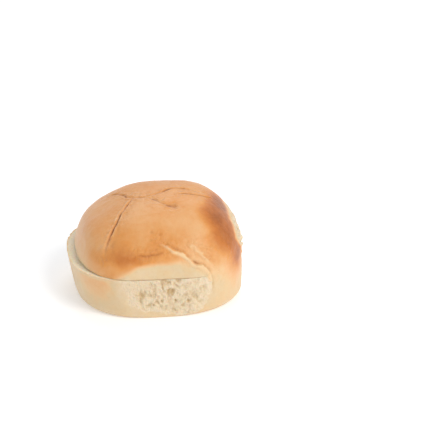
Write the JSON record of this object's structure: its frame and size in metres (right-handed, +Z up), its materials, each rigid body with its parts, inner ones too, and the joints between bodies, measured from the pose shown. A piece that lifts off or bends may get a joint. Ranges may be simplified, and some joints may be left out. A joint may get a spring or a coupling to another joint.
{
  "type": "tin-baked bread roll",
  "caption": "Soft white bread roll with a glazed domed crust, torn crumb where it was pulled from its neighbours, and a knife cut for filling.",
  "frame": {"origin": "middle of the roll's outline seen from above, at the height of its flat base", "axes": "+Z up, through the dome; +X towards the torn side that the knife leaves uncut; -Y towards the front, where the torn patch is"},
  "size_m": [0.0759, 0.0728, 0.0445],
  "materials": {
    "crust": "egg-washed baked crust, satin on the dome, pale and matt on the sides, with open white crumb where it is torn or cut"
  },
  "bodies": {
    "root": {"bread_roll": "crust"}
  },
  "joints": []
}
